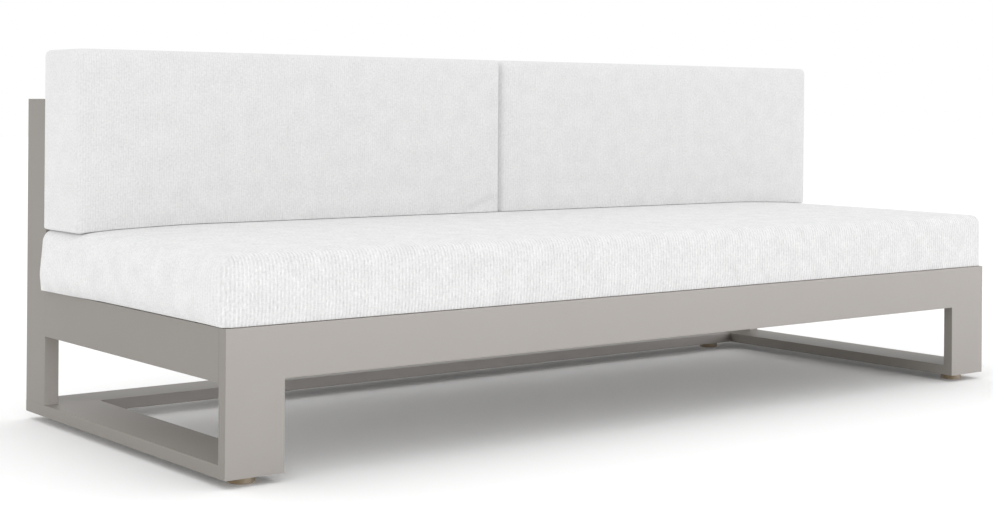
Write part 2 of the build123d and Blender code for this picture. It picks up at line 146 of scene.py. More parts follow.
def between_values(tree, share, ends):
    """A value between two ends."""
    inputs = {"Value": share, "To Min": ends[0], "To Max": ends[1]}
    return add(tree, "ShaderNodeMapRange", inputs).outputs[0]


def relief(tree, height, strength, depth):
    """Normals that follow a height."""
    inputs = {"Strength": strength, "Distance": depth, "Height": height}
    return add(tree, "ShaderNodeBump", inputs).outputs[0]


def close_surface(tree, inputs):
    """Close the tree of a material with one surface."""
    body = add(tree, "ShaderNodeBsdfPrincipled", inputs)
    add(tree, "ShaderNodeOutputMaterial", {"Surface": body.outputs[0]})


def finish_with(nodes, material):
    """Give one material to objects."""
    for obj in nodes:
        obj.data.materials.clear()
        obj.data.materials.append(material)


# %% [markdown]
# The background is a white studio. The floor is an almost white diffuse sheet that catches the soft
# shadow, and a little of its own light, seen by the camera and by reflections only, lifts it to the white
# of the backdrop without lighting the sofa more.

# %% Floor and sky
FLOOR_SIZE = 60
FLOOR_COLOUR = linear("F8F8F8")
FLOOR_LIFT = 0.06
SKY_LIGHT = 1.05


def seen_rays(tree):
    """A node that gives 1 for what the camera, a reflection or a clear material sees, and 0 for light."""
    path = add(tree, "ShaderNodeLightPath")
    rays = [path.outputs[f"Is {kind} Ray"] for kind in ("Camera", "Glossy", "Transmission")]
    first = add(tree, "ShaderNodeMath", {0: rays[0], 1: rays[1]}, operation="MAXIMUM")
    return add(tree, "ShaderNodeMath", {0: first.outputs[0], 1: rays[2]}, operation="MAXIMUM")


floor_material, tree = new_material("white studio floor")
seen = seen_rays(tree)
lift = add(tree, "ShaderNodeMath", {0: seen.outputs[0], 1: FLOOR_LIFT}, operation="MULTIPLY")
paper = add(tree, "ShaderNodeBsdfDiffuse", {"Color": FLOOR_COLOUR})
glow = add(tree, "ShaderNodeEmission", {"Strength": lift.outputs[0]})
both = add(tree, "ShaderNodeAddShader", {0: paper.outputs[0], 1: glow.outputs[0]})
add(tree, "ShaderNodeOutputMaterial", {"Surface": both.outputs[0]})

bpy.ops.mesh.primitive_plane_add(size=FLOOR_SIZE, location=(0, 0, 0))
floor = bpy.context.object
floor.name = "studio_floor"
floor.data.materials.append(floor_material)

world = bpy.data.worlds.new("studio")
scene.world = world
world.use_nodes = True
tree = world.node_tree
tree.nodes.clear()
seen = seen_rays(tree)
level = between_values(tree, seen.outputs[0], (SKY_LIGHT, 1.0))
sky = add(tree, "ShaderNodeBackground", {"Color": (1, 1, 1, 1), "Strength": level})
add(tree, "ShaderNodeOutputWorld", {"Surface": sky.outputs[0]})
print("floor and sky made")

# %% [markdown]
# A bright even sky gives the soft shadow under the sofa. A broad light card to the right of the camera,
# seen in reflections only, puts a sheen on the front of the frame, which is a little lighter than its
# side.

# %% Light card
CARD_TURN = math.radians(27)
CARD_HEIGHT = math.radians(14)
CARD_WIDTH = math.radians(64)
CARD_LIGHT = 12.2
CARD_COLOUR = (1.0, 0.96, 0.96)


def add_lamp(name, kind, energy, receivers=()):
    """A lamp for the whole scene or, where receivers are given, for these objects only."""
    lamp = bpy.data.objects.new(name, bpy.data.lights.new(name, kind))
    lamp.data.energy = energy
    scene.collection.objects.link(lamp)
    if receivers:
        lit = bpy.data.collections.new(name + "_receivers")
        for obj in receivers:
            lit.objects.link(obj)
        lamp.light_linking.receiver_collection = lit
    return lamp


card = add_lamp("light_card", "SUN", CARD_LIGHT)
card.data.color = CARD_COLOUR
card.data.angle = CARD_WIDTH
card_way = Vector((math.sin(CARD_TURN), -math.cos(CARD_TURN), math.tan(CARD_HEIGHT)))
card.rotation_euler = (-card_way).to_track_quat("-Z", "Y").to_euler()
card.visible_diffuse = False
print("light card of strength", CARD_LIGHT)

# %% [markdown]
# The floor alone gets a little more soft light from above, so that it comes up to the white of the
# backdrop while the shadow under the sofa stays. Only the floor receives this lamp.

# %% Floor light
FLOOR_LIGHT = 0.3
FLOOR_LIGHT_WIDTH = math.radians(100)

floor_lamp = add_lamp("floor_light", "SUN", FLOOR_LIGHT, [floor])
floor_lamp.data.angle = FLOOR_LIGHT_WIDTH
print("floor light of strength", FLOOR_LIGHT)

# %% [markdown]
# The white room also throws soft light in under the left end of the seat. One weak lamp stands for it on
# the runner and the post there, and one on the floor. Neither casts a shadow.

# %% Fill under the seat
FILL_LIGHT = 0.9
FILL_HEIGHT = math.radians(35)
FLOOR_FILL_PLACE = (-0.80, 0.36, 0.25)
FLOOR_FILL_POWER = 0.25
FILLED_TUBES = ("left_runner", "left_rear_post")

fill_way = Vector((0, math.cos(FILL_HEIGHT), -math.sin(FILL_HEIGHT)))
tube_fill = add_lamp("tube_fill", "SUN", FILL_LIGHT, [frame["nodes"][name] for name in FILLED_TUBES])
tube_fill.rotation_euler = fill_way.to_track_quat("-Z", "Y").to_euler()
floor_fill = add_lamp("floor_fill", "POINT", FLOOR_FILL_POWER, [floor])
floor_fill.location = FLOOR_FILL_PLACE
for lamp in (tube_fill, floor_fill):
    lamp.data.use_shadow = False
    lamp.visible_camera = False
    lamp.visible_glossy = False
print("fill on", len(FILLED_TUBES), "tubes and the floor")

# %% [markdown]
# The frame is extruded aluminium tube with a warm grey polyester powder coat. A powder coat flows out to
# a faint orange peel with a fine grain, so it is satin rather than glossy, and its colour is very even.

# %% Powder-coated aluminium
COAT_COLOUR = linear("8F8A84")
COAT_DARK = linear("8A857F")
ORANGE_PEEL = 0.0035
COAT_GRAIN = 0.0006
COAT_CLOUDS = 6.0
COAT_ROUGHNESS = (0.42, 0.56)
COAT_RELIEF = (0.12, 0.0004)
COAT_IOR = 1.5

coat, tree = new_material("powder-coated aluminium")
peel = object_noise(tree, 1 / ORANGE_PEEL, 2.0)
grain = object_noise(tree, 1 / COAT_GRAIN, 1.0)
cloud = object_noise(tree, COAT_CLOUDS, 3.0)
skin = add(tree, "ShaderNodeMath", {0: peel, 1: grain}, operation="ADD")
close_surface(
    tree,
    {
        "Base Color": between_colours(tree, cloud, COAT_DARK, COAT_COLOUR),
        "Roughness": between_values(tree, grain, COAT_ROUGHNESS),
        "IOR": COAT_IOR,
        "Normal": relief(tree, skin.outputs[0], *COAT_RELIEF),
    },
)

subparts = {part["node"]: part["material_slot"] for part in frame["record"]["subparts"]}
slots = {}
for node_name, slot_name in subparts.items():
    slots.setdefault(slot_name, []).append(frame["nodes"][node_name])
finish_with(slots["frame"], coat)
print("powder coat on", len(slots["frame"]), "tubes")

# %% [markdown]
# The screws, inserts and foot stems are zinc-plated steel, and the feet are moulded plastic in a tan
# colour. Plating leaves a fine uneven grain, and a moulded foot has a faint spark-eroded one.

# %% Plated steel and moulded plastic
STEEL_COLOUR = linear("C4C4C2")
STEEL_GRAIN = 0.0008
STEEL_ROUGHNESS = (0.28, 0.46)
STEEL_RELIEF = (0.1, 0.0002)
FOOT_COLOUR = linear("AD9A7C")
FOOT_DARK = linear("A08D70")
MOULD_GRAIN = 0.0009
FOOT_SCUFFS = 90.0
FOOT_ROUGHNESS = 0.55
FOOT_RELIEF = (0.25, 0.0003)
FOOT_IOR = 1.49

steel, tree = new_material("zinc-plated steel")
plating = object_noise(tree, 1 / STEEL_GRAIN, 3.0)
close_surface(
    tree,
    {
        "Base Color": STEEL_COLOUR,
        "Metallic": 1.0,
        "Roughness": between_values(tree, plating, STEEL_ROUGHNESS),
        "Normal": relief(tree, plating, *STEEL_RELIEF),
    },
)

plastic, tree = new_material("moulded tan polypropylene")
spark = object_noise(tree, 1 / MOULD_GRAIN, 2.0)
scuff = object_noise(tree, FOOT_SCUFFS, 4.0)
close_surface(
    tree,
    {
        "Base Color": between_colours(tree, scuff, FOOT_DARK, FOOT_COLOUR),
        "Roughness": FOOT_ROUGHNESS,
        "IOR": FOOT_IOR,
        "Normal": relief(tree, spark, *FOOT_RELIEF),
    },
)

finish_with(slots["hardware"], steel)
finish_with(slots["foot"], plastic)
print("steel on", len(slots["hardware"]), "pieces, plastic on", len(slots["foot"]), "feet")

# %% [markdown]
# The covers are white acrylic cloth with raised ribs, which run up the front and on over the top. A woven
# rib is never quite straight: it wanders a little, thick and thin yarn breaks it into short strokes, and
# fine cross yarn gives a speckle. The colour runs from a light crest to a darker tone. In the grooves
# between the ribs the darker colour is painted shade, on top of their relief, while in the speckle and
# the broad patches it is uneven tone of the yarn. The pattern lies on a map in metres that each cushion
# carries, so that it follows the panels. The same tree makes the cloth of the seat, with broad ribs, and
# of the backs, with fine low ones.

# %% Ribbed cloth
# The darker colours are painted shade in the rib grooves, and uneven tone of the yarn in the specks and
# patches.
SEAT_CREST = linear("FCFCFC")
SEAT_GROOVE_SHADE_AND_TONE = linear("D4D4D4")
BACK_CREST = linear("F7F7F7")
BACK_GROOVE_SHADE_AND_TONE = linear("D2D2D2")
SEAT_RIB = 0.008
BACK_RIB = 0.0056
SEAT_RIB_WEIGHT = 0.38
BACK_RIB_WEIGHT = 0.17
END_RIBS = 0.25
RIB_WANDER = 0.0024
WANDER_SIZE = (0.012, 0.018)
STROKE_SIZE = (0.0045, 0.013)
STROKE_FADE = (0.38, 0.66)
SPECK_SIZE = (0.0046, 0.0052)
CROSS_YARN_SIZE = (0.009, 0.0016)
PATCH_SIZE = (0.045, 0.045)
SEAT_SPECKS = 0.75
BACK_SPECKS = 0.70
CROSS_WEIGHT = 0.48
SEAT_PATCHES = 0.45
BACK_PATCHES = 0.34
CLOTH_ROUGHNESS = 0.95
CLOTH_IOR = 1.45
CLOTH_SHEEN = 0.1
CLOTH_RELIEF = (0.5, 0.0012)


def map_noise(tree, weave, size, detail):
    """Noise on the cloth's map, with blots of the given width and height."""
    scale = (1 / size[0], 1 / size[1], 1.0)
    stretch = add(tree, "ShaderNodeMapping", {"Vector": weave, "Scale": scale}).outputs[0]
    inputs = {"Vector": stretch, "Scale": 1.0, "Detail": detail}
    return add(tree, "ShaderNodeTexNoise", inputs).outputs["Fac"]


def times_plus(tree, value, factor, plus):
    """value * factor + plus, where each may be a socket."""
    node = add(tree, "ShaderNodeMath", {0: value, 1: factor, 2: plus}, operation="MULTIPLY_ADD")
    return node.outputs[0]


def ribbed_cloth(name, crest, groove_shade_and_tone, rib, rib_weight, speck_weight, patch_weight):
    """Woven cloth with ribs across the length of a cushion."""
    material, tree = new_material(name)
    weave = add(tree, "ShaderNodeUVMap", uv_map="weave").outputs[0]
    place = add(tree, "ShaderNodeSeparateXYZ", {0: weave})
    wander = map_noise(tree, weave, WANDER_SIZE, 2.0)
    strokes = map_noise(tree, weave, STROKE_SIZE, 1.0)
    specks = map_noise(tree, weave, SPECK_SIZE, 3.0)
    cross = map_noise(tree, weave, CROSS_YARN_SIZE, 1.0)
    patches = map_noise(tree, weave, PATCH_SIZE, 3.0)
    shift = times_plus(tree, wander, 2 * RIB_WANDER, -RIB_WANDER)
    across = add(tree, "ShaderNodeMath", {0: place.outputs["X"], 1: shift}, operation="ADD")
    turn = times_plus(tree, across.outputs[0], 2 * math.pi / rib, 0.0)
    wave = add(tree, "ShaderNodeMath", {0: turn}, operation="COSINE").outputs[0]
    fade = {"Value": strokes, "From Min": STROKE_FADE[0], "From Max": STROKE_FADE[1]}
    force = add(tree, "ShaderNodeMapRange", fade).outputs[0]
    share = add(tree, "ShaderNodeAttribute", attribute_type="GEOMETRY", attribute_name="ribs")
    force = times_plus(tree, force, share.outputs["Fac"], 0.0)
    ribs = times_plus(tree, wave, force, 0.0)
    # The base colour is painted darker in the rib grooves as shade, and the specks, cross yarn and patches
    # make the yarn's tone uneven.
    middle = 0.5 - (speck_weight + CROSS_WEIGHT + patch_weight) / 2
    ribs = times_plus(tree, ribs, rib_weight, middle)
    grainy = times_plus(tree, specks, speck_weight, ribs)
    grainy = times_plus(tree, cross, CROSS_WEIGHT, grainy)
    height = times_plus(tree, patches, patch_weight, grainy)
    close_surface(
        tree,
        {
            "Base Color": between_colours(tree, height, groove_shade_and_tone, crest),
            "Roughness": CLOTH_ROUGHNESS,
            "IOR": CLOTH_IOR,
            "Specular IOR Level": CLOTH_SHEEN,
            "Normal": relief(tree, grainy, *CLOTH_RELIEF),
        },
    )
    return material


seat_cloth = ribbed_cloth(
    "ribbed acrylic seat cloth",
    SEAT_CREST,
    SEAT_GROOVE_SHADE_AND_TONE,
    SEAT_RIB,
    SEAT_RIB_WEIGHT,
    SEAT_SPECKS,
    SEAT_PATCHES,
)
back_cloth = ribbed_cloth(
    "ribbed acrylic back cloth",
    BACK_CREST,
    BACK_GROOVE_SHADE_AND_TONE,
    BACK_RIB,
    BACK_RIB_WEIGHT,
    BACK_SPECKS,
    BACK_PATCHES,
)
finish_with(slots["cover"] + slots["foam"], back_cloth)
print("cloth with ribs every", SEAT_RIB * 1000, "and", BACK_RIB * 1000, "mm")

# %% [markdown]
# Each cushion starts as a box with rounded edges. Its grid is close round the edges and wide on the
# panels. A regular grid is chosen over a voxel remesh because it keeps the edges crisp and gives even
# quads to subdivide. The upper edges are rounder than the lower ones, which are pressed flat by the
# weight.

# %% Start form of a cushion
EDGE_STEPS = 4


def grid_lines(low, high, low_radius, high_radius, spacing, extra=()):
    """Places of the grid along one side, with extra lines where a detail needs them."""
    bend = [math.tan(math.pi / 4 * step / EDGE_STEPS) for step in range(EDGE_STEPS + 1)]
    start = low + low_radius
    end = high - high_radius
    count = round((end - start) / spacing)
    even = [start + (end - start) * step / count for step in range(1, count)]
    even = [place for place in even if all(abs(place - line) > spacing / 3 for line in extra)]
    first = [start - low_radius * b for b in bend]
    final = [end + high_radius * b for b in bend]
    return sorted(first + even + list(extra) + final)


def rounded_box(name, low, high, radii, spacing, extra):
    """Closed box of quads with rounded edges, as a new object. extra are more grid lines in Z."""
    core_low, core_high = low + radii[0], high - radii[1]
    sides = []
    for axis in range(3):
        more = extra if axis == 2 else ()
        sides.append(grid_lines(low[axis], high[axis], radii[0][axis], radii[1][axis], spacing, more))
    last = [len(side) - 1 for side in sides]
    places = {}
    points = []

    def corner(index):
        if index not in places:
            places[index] = len(points)
            raw = np.array([sides[axis][index[axis]] for axis in range(3)])
            core = np.clip(raw, core_low, core_high)
            reach = np.where(raw < core, *radii)
            out = (raw - core) / reach
            points.append(core + reach * out / np.linalg.norm(out))
        return places[index]

    faces = []
    for axis in range(3):
        first, second = (axis + 1) % 3, (axis + 2) % 3
        for level, order in ((0, -1), (last[axis], 1)):
            for a in range(last[first]):
                for b in range(last[second]):
                    ring = []
                    for step_a, step_b in ((0, 0), (1, 0), (1, 1), (0, 1))[::order]:
                        index = [0, 0, 0]
                        index[axis] = level
                        index[first] = a + step_a
                        index[second] = b + step_b
                        ring.append(corner(tuple(index)))
                    faces.append(ring)
    mesh = bpy.data.meshes.new(name)
    mesh.from_pydata([tuple(p) for p in points], [], faces)
    mesh.update()
    obj = bpy.data.objects.new(name, mesh)
    scene.collection.objects.link(obj)
    return obj


def ease(share):
    """Smooth step from 0 to 1."""
    share = np.clip(share, 0, 1)
    return share * share * (3 - 2 * share)


def points_of(mesh):
    """All points of a mesh as an array."""
    flat = np.empty(len(mesh.vertices) * 3)
    mesh.vertices.foreach_get("co", flat)
    return flat.reshape(-1, 3)


def set_points(mesh, points):
    """Put an array of points back into a mesh."""
    mesh.vertices.foreach_set("co", points.ravel())
    mesh.update()


# %% [markdown]
# The sizes of the finished cushions come from the solids that they replace. Each start box is set in from
# its solid by the swell that its sides will get. A side that lies on something gets no swell.

# %% Start boxes
REST_GAP = 0.0003
SEAT_EDGE = 0.131
SEAT_MIDDLE = 0.143
SEAT_TOP_SWELL = 0.005
SEAT_SWELL = ((0.012, 0.004, 0.0), (0.012, 0.0, SEAT_TOP_SWELL))
SEAT_END_OUT = 0.001
SEAT_FRONT_OUT = 0.001
BACK_OUTER_SWELL = 0.003
BACK_INNER_SWELL = 0.0005
BACK_FRONT_SWELL = 0.005
BACK_TOP_SWELL = 0.001
BACK_TOP_DOWN = 0.0015
RIGHT_END_OUT = 0.004
INNER_ROLL = 0.015
INNER_ROLL_RUN = 0.024
SEAT_RADII = np.array([[0.020, 0.020, 0.001], [0.020, 0.008, 0.024]])
BACK_RADII = np.array([[0.014, 0.014, 0.006], [0.014, 0.008, 0.015]])
LEFT_INNER_RADIUS = 0.007
SEAT_GRID = 0.018
BACK_GRID = 0.014
ROLL_LINE = 0.002
ZIP_LINES = (-0.008, -0.0055, 0.0055, 0.008)
GROOVE_HALF = 0.006
GROOVE_DEPTH = 0.0042
TAPE_END = 0.012

seat_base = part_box("seat_cushion_cover")[0][2]
back_base = seat_base + SEAT_MIDDLE + REST_GAP
cushions = {}
for name in ("seat_cushion", "left_back_cushion", "right_back_cushion"):
    low, high = (np.array(corner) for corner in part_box(name + "_cover"))
    zip_low, zip_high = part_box(name + "_zip_tape")
    zip_height = (zip_low[2] + zip_high[2]) / 2
    zip_lines = [zip_height + line for line in ZIP_LINES]
    if name == "seat_cushion":
        swell = np.array(SEAT_SWELL)
        high[2] = low[2] + SEAT_EDGE + SEAT_TOP_SWELL
        low[0] -= SEAT_END_OUT
        low[1] -= SEAT_FRONT_OUT
        high[0] += SEAT_END_OUT
        radii, spacing = SEAT_RADII, SEAT_GRID
    else:
        ends = [BACK_OUTER_SWELL, BACK_INNER_SWELL][:: 1 if name.startswith("left") else -1]
        swell = np.array([[ends[0], BACK_FRONT_SWELL, 0.0], [ends[1], 0.0, BACK_TOP_SWELL]])
        low[2] = back_base
        high[2] -= BACK_TOP_DOWN
        high[0] += RIGHT_END_OUT if name.startswith("right") else 0
        radii, spacing = BACK_RADII.copy(), BACK_GRID
        radii[1][0] = LEFT_INNER_RADIUS if name.startswith("left") else radii[1][0]
    more_lines = [low[2] + radii[0][2] + ROLL_LINE] + zip_lines
    start = rounded_box(name, low + swell[0], high - swell[1], radii, spacing, more_lines)
    cushions[name] = {"object": start, "low": low, "high": high, "swell": swell, "radii": radii}
    cushions[name].update({"zip": (zip_low, zip_high), "zip_height": zip_height})
    print(name, "points", len(start.data.vertices))

# %% [markdown]
# Cloth with air pressure inside swells the panels. Every point is also held softly to its place, as foam
# does, so the panels fill out and the edges stay. The swell of each side is then brought to the size that
# the side has in the photograph, which is nothing where a side lies on the deck, the slats or the seat.
# The rear wall gets a groove where the zip is sewn in.

# %% Stuffing the cushions
SIM_FRAMES = 15
AIR_PRESSURE = 20.0
FOAM_HOLD = 0.3
SIM_QUALITY = 5
LEAST_SWELL = 0.001

for cushion in cushions.values():
    obj = cushion["object"]
    foam = obj.vertex_groups.new(name="foam")
    foam.add(range(len(obj.data.vertices)), FOAM_HOLD, "REPLACE")
    cloth = obj.modifiers.new("stuffing", "CLOTH")
    cloth.settings.quality = SIM_QUALITY
    cloth.settings.use_pressure = True
    cloth.settings.uniform_pressure_force = AIR_PRESSURE
    cloth.settings.effector_weights.gravity = 0
    cloth.settings.vertex_group_mass = "foam"
    cloth.point_cache.frame_start = 1
    cloth.point_cache.frame_end = SIM_FRAMES
for number in range(1, SIM_FRAMES + 1):
    scene.frame_set(number)
for name, cushion in cushions.items():
    obj = cushion["object"]
    start = points_of(obj.data)
    stuffed = obj.evaluated_get(bpy.context.evaluated_depsgraph_get())
    moved = points_of(stuffed.to_mesh()) - start
    stuffed.to_mesh_clear()
    for modifier in list(obj.modifiers):
        obj.modifiers.remove(modifier)
    obj.vertex_groups.clear()
    most = np.maximum(np.array([-moved.min(axis=0), moved.max(axis=0)]), LEAST_SWELL)
    gain = cushion["swell"] / most
    points = start + np.where(moved < 0, moved * gain[0], moved * gain[1])
    zip_low, zip_high = cushion["zip"]
    in_slot = start[:, 1] > cushion["high"][1] - GROOVE_DEPTH
    in_slot &= np.abs(start[:, 2] - cushion["zip_height"]) < GROOVE_HALF
    in_slot &= (start[:, 0] > zip_low[0] + TAPE_END) & (start[:, 0] < zip_high[0] - TAPE_END)
    points[in_slot, 1] -= GROOVE_DEPTH
    cushion["points"] = points
    print(name, "swelled by", (most * 1000).round(1).tolist(), "mm before fitting")
scene.frame_set(1)

# %% [markdown]
# The seat rises from its edges to a flat crown. The back cushions stand on it with their whole weight and
# press its ends out a little. Their lower wall takes the shape of the seat, which drops towards the ends.
# At the rear only the lowest part of them settles, so that the zip stays level. The lower front edges are
# pressed flat onto what carries them, while the lower edges of the outer ends stay round. Where the backs
# meet, the right one rolls in a little behind the crisp edge of the left one.

# %% Crown of the seat and foot of the backs
CROWN_RUN = 0.45
CROWN_END = 0.30
BELLY = 0.015
BELLY_FROM = 0.05
BELLY_RUN = 0.20
BELLY_HEIGHT = 0.3
BELLY_START = 1.0
SETTLE = 0.10
REAR_SETTLE = 0.05
REAR_CLEAR = 0.03
RAY_FROM = 0.2
BACK_DEPTH = 0.17
FRONT_PRESS = 0.95
FRONT_PRESS_RUN = 0.04
PRESSED_ROLLS = 4
END_PRESS_RUN = 0.06

for cushion in cushions.values():
    points = cushion["points"]
    at_front = 1 - ease((points[:, 1] - cushion["low"][1]) / FRONT_PRESS_RUN)
    inside_ends = ease((cad_high[0] - np.abs(points[:, 0])) / END_PRESS_RUN)
    above = points[:, 2] - cushion["low"][2]
    in_roll = 1 - ease(above / (PRESSED_ROLLS * cushion["radii"][0][2]))
    points[:, 2] -= FRONT_PRESS * at_front * inside_ends * in_roll * above

seat = cushions["seat_cushion"]
points = seat["points"]
low, high = seat["low"], seat["high"]
upper = ease((points[:, 2] - low[2]) / SEAT_EDGE)
along = ease((high[0] - np.abs(points[:, 0])) / CROWN_END)
back = ease((points[:, 1] - low[1]) / CROWN_RUN)
points[:, 2] += (SEAT_MIDDLE - SEAT_EDGE - SEAT_TOP_SWELL) * upper * along * back
under_backs = ease((points[:, 1] - BELLY_FROM) / BELLY_RUN)
belly = 1 - np.abs((points[:, 2] - low[2]) / SEAT_EDGE - BELLY_HEIGHT)
near_end = ease((np.abs(points[:, 0]) - BELLY_START) / (high[0] - BELLY_START))
points[:, 0] += np.sign(points[:, 0]) * BELLY * belly * near_end * under_backs
set_points(seat["object"].data, points)
seat_tree = BVHTree.FromObject(seat["object"], bpy.context.evaluated_depsgraph_get())


def seat_top(x, y):
    """Height of the seat cushion under a place."""
    hit = seat_tree.ray_cast(Vector((x, y, back_base + RAY_FROM)), Vector((0, 0, -1)))[0]
    return hit.z if hit else seat_base + SEAT_EDGE


rear_limit = seat["high"][1] - REAR_CLEAR
right_points = cushions["right_back_cushion"]["points"]
front_share = ease((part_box("right_back_cushion_cover")[1][1] - right_points[:, 1]) / BACK_DEPTH)
right_points[:, 1] += INNER_ROLL * front_share * (1 - ease(right_points[:, 0] / INNER_ROLL_RUN))
for name in ("left_back_cushion", "right_back_cushion"):
    cushion = cushions[name]
    points = cushion["points"]
    for point in points:
        settle = SETTLE if point[1] < rear_limit else REAR_SETTLE
        share = 1 - ease((point[2] - back_base) / settle)
        if share > 0:
            drop = seat_top(point[0], min(point[1], rear_limit)) + REST_GAP - back_base
            point[2] += share * max(drop, SEAT_EDGE - SEAT_MIDDLE)
    set_points(cushion["object"].data, points)
    print(name, "stands down to", points[:, 2].min().round(4), "on the seat")

# %% [markdown]
# A subdivision smooths the grid, and the pieces take over from the plain solids. Each end of a back
# cushion is a panel of its own, so the seam round it is drawn in by a quarter of a millimetre, while the
# seat's soft edges show no seam. The left back cushion has one slanting crease at its lower inner corner,
# tucked in beside its neighbour. The map of the weave is unrolled round the edges, and the ribs fade on
# the end panels.

# %% Finished cushions
SEAM_DEPTH = 0.00025
CREASE_START = (-0.110, 0.437)
CREASE_END = (-0.004, 0.476)
CREASE_DEPTH = 0.006
CREASE_HALF = 0.0075
CREASE_REACH = 0.02
CREASE_FADE = 4
FACE_CORNERS = 4
PANEL_EDGE = 0.7
LEVEL_EDGE = 0.5
UPRIGHT_EDGE = 0.9
LEVEL_FADE = 0.05
UPRIGHT_FADE = 0.75
FADE_RUN = 0.3
TILT = 0.2


def directions(items):
    """The normals of all points or faces of a mesh as an array."""
    flat = np.empty(len(items) * 3)
    items.foreach_get("normal", flat)
    return flat.reshape(-1, 3)


def lay_weave(mesh, radius):
    """Lay the cloth's map in metres and the strength of its ribs. Gives the points on the end seams."""
    facing = np.repeat(directions(mesh.polygons), FACE_CORNERS, axis=0)
    corners = np.empty(len(mesh.loops), dtype=int)
    mesh.loops.foreach_get("vertex_index", corners)
    slant = np.clip(directions(mesh.vertices)[corners], -1, 1)
    edge = np.where(np.abs(facing[:, 2]) > TILT, LEVEL_EDGE, UPRIGHT_EDGE)
    on_end = np.abs(facing[:, 0]) > edge
    place = points_of(mesh)[corners]
    unrolled = place[:, 0] + radius * (np.arcsin(slant[:, 0]) - slant[:, 0])
    across = np.where(on_end, place[:, 1], unrolled)
    rise = np.where(facing[:, 1] > PANEL_EDGE, -1, 1)
    depth = np.where(facing[:, 2] < -PANEL_EDGE, -1, 1)
    along = np.where(on_end, place[:, 2], rise * place[:, 2] + depth * place[:, 1])
    weave = mesh.uv_layers.new(name="weave")
    weave.data.foreach_set("uv", np.column_stack([across, along]).ravel())
    ribs = mesh.attributes.new("ribs", "FLOAT", "CORNER")
    fade_from = np.where(np.abs(slant[:, 2]) > TILT, LEVEL_FADE, UPRIGHT_FADE)
    turned = ease((np.abs(slant[:, 0]) - fade_from) / FADE_RUN)
    ribs.data.foreach_set("value", 1 + (END_RIBS - 1) * turned)
    return np.intersect1d(corners[on_end], corners[~on_end])


def draw_in_seam(mesh, seam):
    """Pull the points of the seams a little into the cushion."""
    points = points_of(mesh)
    points[seam] -= SEAM_DEPTH * directions(mesh.vertices)[seam]
    set_points(mesh, points)


def tuck(mesh):
    """Press the slanting crease into the lower inner corner of the left back cushion."""
    points = points_of(mesh)
    start, end = np.array(CREASE_START), np.array(CREASE_END)
    run = end - start
    place = points[:, [0, 2]] - start
    share = place @ run / (run @ run)
    away = (place[:, 1] * run[0] - place[:, 0] * run[1]) / np.linalg.norm(run)
    ends = ease(CREASE_FADE * share) * ease(CREASE_FADE * (1 - share))
    depth = CREASE_DEPTH * np.exp(-((away / CREASE_HALF) ** 2)) * ends
    points[:, 1] += np.where(points[:, 1] < points[:, 1].min() + CREASE_REACH, depth, 0)
    set_points(mesh, points)


for name, cushion in cushions.items():
    rough_object = cushion["object"]
    smooth = rough_object.modifiers.new("smooth", "SUBSURF")
    smooth.levels = 1
    smooth.render_levels = 1
    depsgraph = bpy.context.evaluated_depsgraph_get()
    mesh = bpy.data.meshes.new_from_object(rough_object.evaluated_get(depsgraph))
    bpy.data.objects.remove(rough_object)
    piece = bpy.data.objects.new(name + "_stuffed", mesh)
    scene.collection.objects.link(piece)
    mesh.polygons.foreach_set("use_smooth", [True] * len(mesh.polygons))
    seam = lay_weave(mesh, cushion["radii"][0][0])
    if name != "seat_cushion":
        draw_in_seam(mesh, seam)
    if name == "left_back_cushion":
        tuck(mesh)
    finish_with([piece], seat_cloth if name == "seat_cushion" else back_cloth)
    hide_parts(name + "_cover", name + "_core")
    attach(piece, name)
    print(piece.name, "faces", len(mesh.polygons))

# %% [markdown]
# The zips are white nylon. The tape is a close weave, and the slider is moulded. Thread and teeth repeat
# many times, so a node tree sets them out in rows from a pitch and a count. The teeth lie low enough for
# the slider to pass over them, and the thread holds the cloth to the tape on both sides of the slot.

# %% Zip materials
TAPE_COLOUR = linear("E6E5E2")
NYLON_COLOUR = linear("DCDBD8")
THREAD_COLOUR = linear("F4F4F2")
TAPE_WEAVE = 0.0008
THREAD_TWIST = 0.0006
TAPE_ROUGHNESS = 0.85
NYLON_ROUGHNESS = 0.45
THREAD_ROUGHNESS = 0.7
WEAVE_DEPTH = 0.0002
GRAIN_DEPTH = 0.0001
GRAIN_RELIEF = 0.4
GRAIN_SHADE = 0.82


def fine_grain(name, colour, size, roughness, depth):
    """A material of one colour with a fine grain of the given size."""
    material, tree = new_material(name)
    grain = object_noise(tree, 1 / size, 2.0)
    dark = tuple(GRAIN_SHADE * part for part in colour[:3]) + (1.0,)
    close_surface(
        tree,
        {
            "Base Color": between_colours(tree, grain, dark, colour),
            "Roughness": roughness,
            "Normal": relief(tree, grain, GRAIN_RELIEF, depth),
        },
    )
    return material


tape_weave = fine_grain("woven polyester zip tape", TAPE_COLOUR, TAPE_WEAVE, TAPE_ROUGHNESS, WEAVE_DEPTH)
nylon = fine_grain("moulded white nylon", NYLON_COLOUR, MOULD_GRAIN, NYLON_ROUGHNESS, GRAIN_DEPTH)
thread = fine_grain("bonded polyester thread", THREAD_COLOUR, THREAD_TWIST, THREAD_ROUGHNESS, GRAIN_DEPTH)
for obj in slots["zip"]:
    finish_with([obj], nylon if obj.name.endswith("slider") else tape_weave)
print("zip finish on", len(slots["zip"]), "pieces")

# %% Node tree for rows
BEAD_SEGMENTS = 6
BEAD_RINGS = 4


def group_input(tree, name, kind, value):
    """Add a named input to a node tree, and give its identifier."""
    socket = tree.interface.new_socket(name, in_out="INPUT", socket_type=kind)
    if value is not None:
        socket.default_value = value
    return socket.identifier


